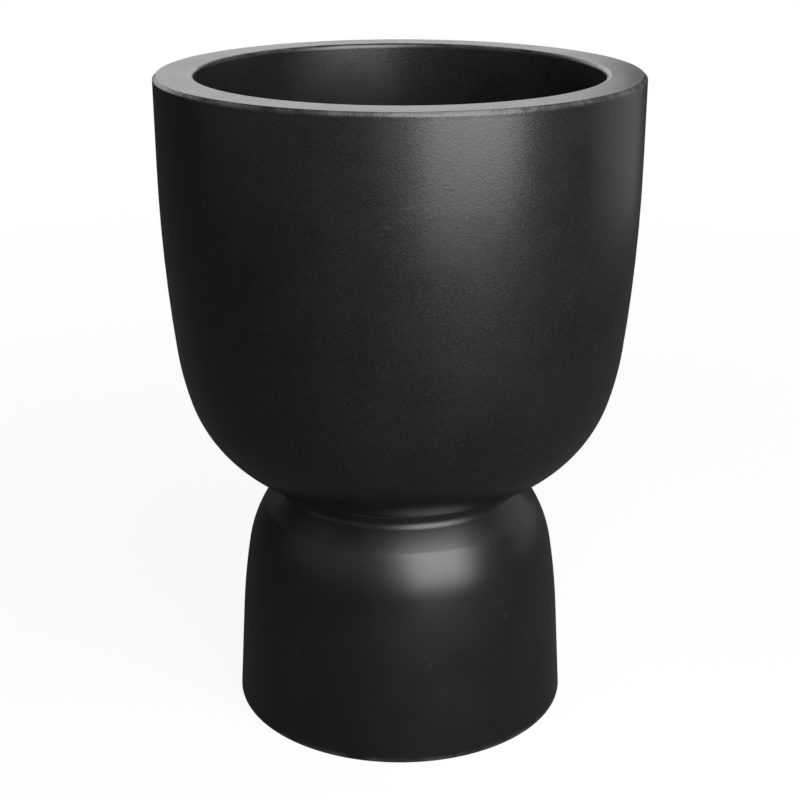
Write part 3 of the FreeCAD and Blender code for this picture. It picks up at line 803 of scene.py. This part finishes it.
steelLook = {
    "bright": (0.64, 0.64, 0.62), "dull": (0.46, 0.455, 0.44), "roughLow": 0.23, "roughHigh": 0.4,
    "pebbles": 2500.0, "fine": 5200.0, "grainBump": 0.15, "grainDepth": 0.03 * mm, "speckRough": 0.12,
    "waveScale": 120.0, "waveBump": 0.15, "waveDepth": 0.1 * mm, "rubs": 0.5,
}
brassLook = dict(steelLook, bright=(0.74, 0.57, 0.29), dull=(0.36, 0.25, 0.11), roughLow=0.29, roughHigh=0.46)


# Slow waves and grain, placed with a look's own scales, and the bump of both.
def placeSkin(tree, shader, place, look):
    grain = placeGroup(tree, grainGroup, place, Pebbles=look["pebbles"], Fine=look["fine"])
    waves = placeGroup(tree, wavesGroup, place, Scale=look["waveScale"])
    stackBumps(tree, shader, [(waves["Height"], look["waveBump"], look["waveDepth"]),
                              (grain["Height"], look["grainBump"], look["grainDepth"])])
    return grain, waves


# Fitting plastic: a finer even grain, tone drift, dust, and pale rubs where tools and fingers go.
def fittingPlastic(look):
    material, tree, shader, place = newMaterial("fittingPlastic", IOR=look["ior"])
    waves = placeSkin(tree, shader, place, look)[1]
    rubs = placeGroup(tree, rubsGroup, place, Amount=look["rubs"])["Mask"]
    dust = placeGroup(tree, dustGroup, place, Amount=look["dust"])["Mask"]
    edge = placeGroup(tree, edgeRingGroup, place, Radius=bush["flangeRadius"], Height=bushTopZ, Width=look["wearWidth"])
    worn = compute(tree, "MAXIMUM", rubs, compute(tree, "MULTIPLY", edge["Mask"], look["wearAndHighlight"]))
    colour = mixColour(tree, waves["Tone"], look["dark"], look["light"])
    colour = mixColour(tree, worn, colour, look["wearAndHighlightColour"])
    tree.links.new(mixColour(tree, dust, colour, bowlLook["dustColour"]), shader.inputs["Base Color"])
    dusty = compute(tree, "MULTIPLY", dust, look["dustRough"])
    tree.links.new(compute(tree, "ADD", driftingRough(tree, waves, look), dusty), shader.inputs["Roughness"])
    return material


# Seal rubber: matt, with a pale bloom in patches and a soft uneven skin.
def sealRubber(look):
    material, tree, shader, place = newMaterial("sealRubber", IOR=look["ior"])
    grain, waves = placeSkin(tree, shader, place, look)
    colour = mixColour(tree, waves["Tone"], look["dark"], look["light"])
    bloom = compute(tree, "MULTIPLY", grain["Speck"], look["bloom"])
    tree.links.new(mixColour(tree, bloom, colour, look["bloomColour"]), shader.inputs["Base Color"])
    tree.links.new(driftingRough(tree, waves, look), shader.inputs["Roughness"])
    return material


# Bare metal: bright and dull patches, with fine dull rubs, and roughness between a low and a high with the patches.
def bareMetal(name, look):
    material, tree, shader, place = newMaterial(name, Metallic=1.0)
    grain, waves = placeSkin(tree, shader, place, look)
    rubs = placeGroup(tree, rubsGroup, place, Amount=look["rubs"])["Mask"]
    colour = mixColour(tree, waves["Tone"], look["bright"], look["dull"])
    tree.links.new(mixColour(tree, rubs, colour, look["dull"]), shader.inputs["Base Color"])
    varied = rescale(tree, waves["Tone"], 0, 1, look["roughLow"], look["roughHigh"])
    speckled = compute(tree, "MULTIPLY", grain["Speck"], look["speckRough"])
    tree.links.new(compute(tree, "ADD", varied, speckled), shader.inputs["Roughness"])
    return material


plastic, rubber = fittingPlastic(fittingLook), sealRubber(rubberLook)
steel, brass = bareMetal("stainlessSteel", steelLook), bareMetal("insertBrass", brassLook)
for piece, material in ((bushPiece, plastic), (nutPiece, plastic), (plugPiece, plastic), (gasketPiece, rubber),
                        (ringPiece, rubber), (screwPiece, steel), (washerPiece, steel)):
    piece.data.materials.append(material)
inserts = nodes["insert_nuts"]
inserts.data.materials.clear()
inserts.data.materials.append(brass)
print("fittings finished")


studio = {
    "floorColour": (0.055, 0.055, 0.055), "floorReach": 20, "paintedShadeGlow": 0.92, "farGlow": 1.0, "glowFrom": 0.4,
    "glowTo": 2.6, "reflectedGlow": 0.04, "fill": 0.04,
    "key": {"place": (0.46, -0.79, 1.215), "along": (0.87, 0.49, 0), "up": (-0.48, 0.87, 1.87), "width": 1.05,
            "height": 2.12, "radiance": 6.9},
    "side": {"place": (-1.15, -0.75, 0.9), "along": (0.6, -0.8, 0), "up": (0, 0, 1), "width": 2.2, "height": 1.2,
             "radiance": 0.22},
    "near": {"place": (0.0, -1.45, 0.85), "along": (1, 0, 0), "up": (0, 0, 1), "width": 0.55, "height": 1.1,
             "radiance": 0.9},
    "right": {"place": (1.5, 0.75, 0.7), "along": (-0.45, 0.89, 0), "up": (0, 0, 1), "width": 1.3, "height": 1.3,
              "radiance": 0.45},
    "back": {"place": (-0.68, 1.7, 1.25), "along": (-1, 0, 0), "up": (0, 0, 1), "width": 2.2, "height": 1.1,
             "radiance": 1.55},
}


# How much of the white that the camera sees a ray gets: all of it for camera and see-through rays, and a little in
# reflections, which keeps the black plastic as dark as it is in a studio. Other rays get the last share.
def whiteShare(tree, reflected, other):
    path = tree.nodes.new("ShaderNodeLightPath")
    direct = compute(tree, "MAXIMUM", path.outputs["Is Camera Ray"], path.outputs["Is Transmission Ray"])
    shine = compute(tree, "MULTIPLY", path.outputs["Is Glossy Ray"], reflected)
    return compute(tree, "MAXIMUM", compute(tree, "MAXIMUM", direct, shine), other)


floorMesh = bpy.data.meshes.new("studioFloor")
reach = studio["floorReach"]
floorMesh.from_pydata([(-reach, -reach, 0), (reach, -reach, 0), (reach, reach, 0), (-reach, reach, 0)], [],
                      [(0, 1, 2, 3)])
floor = bpy.data.objects.new("studioFloor", floorMesh)
scene.collection.objects.link(floor)
floorMaterial, tree, shader, place = newMaterial("paleFloor", Roughness=0.9)
shader.inputs["Base Color"].default_value = (*studio["floorColour"], 1)
shader.inputs["Specular IOR Level"].default_value = 0.0
shader.inputs["Emission Color"].default_value = (1, 1, 1, 1)
# The floor's glow for the camera is dimmer near the object than far off: painted shade round the object.
away = addNode(tree, "VectorMath", operation="LENGTH")
tree.links.new(place, away.inputs[0])
glowWithPaintedShade = rescale(tree, away.outputs["Value"], studio["glowFrom"], studio["glowTo"], studio["paintedShadeGlow"],
               studio["farGlow"], smooth=True)
tree.links.new(compute(tree, "MULTIPLY", whiteShare(tree, studio["reflectedGlow"], 0.0), glowWithPaintedShade),
               shader.inputs["Emission Strength"])
floorMesh.materials.append(floorMaterial)

world = bpy.data.worlds.new("studioWorld")
world.use_nodes = True
backdrop = world.node_tree.nodes["Background"]
backdrop.inputs["Color"].default_value = (1, 1, 1, 1)
world.node_tree.links.new(whiteShare(world.node_tree, studio["reflectedGlow"], studio["fill"]),
                          backdrop.inputs["Strength"])
scene.world = world


# Softbox: an area light of plain radiance, power = pi * radiance * width * height, faced by its two edges.
def softbox(name, box):
    data = bpy.data.lights.new(name, "AREA")
    data.shape, data.size, data.size_y = "RECTANGLE", box["width"], box["height"]
    data.energy = math.pi * box["radiance"] * box["width"] * box["height"]
    light = bpy.data.objects.new(name, data)
    along = Vector(box["along"]).normalized()
    upward = Vector(box["up"])
    upward = (upward - along * upward.dot(along)).normalized()
    turned = Matrix((along, upward, along.cross(upward))).transposed()
    light.matrix_world = Matrix.Translation(box["place"]) @ turned.to_4x4()
    light.visible_camera = False
    scene.collection.objects.link(light)


for side in ("key", "side", "near", "right", "back"):
    softbox(side + "Softbox", studio[side])
print("studio lit")

view = {"place": (0, -1.28808, 0.74723), "pitch": 20.168, "focalPixels": 1564.86, "framePixels": 800,
        "sensorWidth": 36, "nearest": 0.05}
camera = bpy.data.objects.new("camera", bpy.data.cameras.new("camera"))
scene.collection.objects.link(camera)
camera.location = view["place"]
camera.rotation_euler = (math.radians(up - view["pitch"]), 0, 0)
camera.data.sensor_width = view["sensorWidth"]
camera.data.lens = view["focalPixels"] / view["framePixels"] * view["sensorWidth"]
camera.data.clip_start = view["nearest"]
scene.camera = camera
scene.view_settings.view_transform = "Standard"

print("scene finished")
